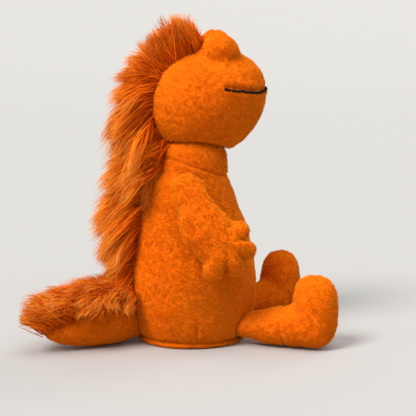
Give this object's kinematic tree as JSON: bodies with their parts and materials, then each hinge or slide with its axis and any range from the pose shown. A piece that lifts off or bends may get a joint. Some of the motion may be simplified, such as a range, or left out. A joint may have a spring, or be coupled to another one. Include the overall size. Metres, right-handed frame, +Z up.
{
  "type": "stuffed dinosaur",
  "caption": "Seated plush dinosaur with a long-pile mane from crown to tail tip, brow bumps, mitt hands and upright feet, on soft jointed limbs.",
  "frame": {"origin": "centre of the flat base that the torso sits on, at floor level", "axes": "+X is the way the dinosaur faces, +Y its left side, +Z up"},
  "size_m": [0.2904, 0.1832, 0.3078],
  "materials": {
    "plush": "short pile plush, orange",
    "long_pile": "long pile faux fur, reddish orange",
    "filling": "loose polyester fibre",
    "lining": "woven cotton",
    "pellets": "loose pellets",
    "eye": "polished bead",
    "washer": "moulded",
    "yarn": "embroidery yarn, black"
  },
  "bodies": {
    "torso": {"torso_side_right": "plush", "torso_side_left": "plush", "base_panel": "plush", "base_seam_roll": "plush", "torso_filling": "filling", "pellet_bag": "lining", "pellets": "pellets", "mane_back": "long_pile", "shoulder_stitch_right": "plush", "shoulder_stitch_left": "plush"},
    "neck": {"neck_band": "plush", "neck_filling": "filling", "mane_neck": "long_pile"},
    "head": {"head_side_right": "plush", "head_side_left": "plush", "forehead_gusset": "plush", "chin_gusset": "plush", "head_filling": "filling", "mane_head": "long_pile", "brow_right": "plush", "brow_left": "plush", "brow_filling": "filling", "eye_right": "eye", "eye_left": "eye", "eye_washer_right": "washer", "eye_washer_left": "washer", "mouth_stitch": "yarn"},
    "arm_right": {"arm_right_outer": "plush", "arm_right_inner": "plush", "arm_right_filling": "filling"},
    "arm_left": {"arm_left_outer": "plush", "arm_left_inner": "plush", "arm_left_filling": "filling"},
    "leg_right": {"leg_right_upper": "plush", "leg_right_lower": "plush", "leg_right_filling": "filling", "foot_right_upper": "plush", "foot_right_sole": "plush", "foot_right_filling": "filling"},
    "leg_left": {"leg_left_upper": "plush", "leg_left_lower": "plush", "leg_left_filling": "filling", "foot_left_upper": "plush", "foot_left_sole": "plush", "foot_left_filling": "filling"},
    "tail": {"tail_side_right": "plush", "tail_side_left": "plush", "tail_filling": "filling", "mane_tail": "long_pile"}
  },
  "joints": [
    {"name": "neck_turn", "type": "hinge", "parent": "torso", "child": "neck", "pos_m": [0, 0, 0.167], "axis": [0.1219, 0, 0.9925], "range_deg": [-35, 35]},
    {"name": "head_nod", "type": "hinge", "parent": "neck", "child": "head", "pos_m": [0.00137, 0, 0.17817], "axis": [0, 1, 0], "range_deg": [-10, 18]},
    {"name": "arm_right_swing", "type": "hinge", "parent": "torso", "child": "arm_right", "pos_m": [-0.015, -0.04252, 0.156], "axis": [0, -0.9477, 0.3193], "range_deg": [-25, 50]},
    {"name": "arm_left_swing", "type": "hinge", "parent": "torso", "child": "arm_left", "pos_m": [-0.015, 0.04252, 0.156], "axis": [0, -0.9477, -0.3193], "range_deg": [-25, 50]},
    {"name": "leg_right_lift", "type": "hinge", "parent": "torso", "child": "leg_right", "pos_m": [0.04513, -0.03401, 0.0187], "axis": [-0.4848, -0.8746, 0], "range_deg": [0, 20]},
    {"name": "leg_left_lift", "type": "hinge", "parent": "torso", "child": "leg_left", "pos_m": [0.04513, 0.03401, 0.0187], "axis": [0.4848, -0.8746, 0], "range_deg": [0, 20]},
    {"name": "tail_swing", "type": "hinge", "parent": "torso", "child": "tail", "pos_m": [-0.05337, 0, 0.027], "axis": [0, 0, 1], "range_deg": [-25, 5]}
  ]
}
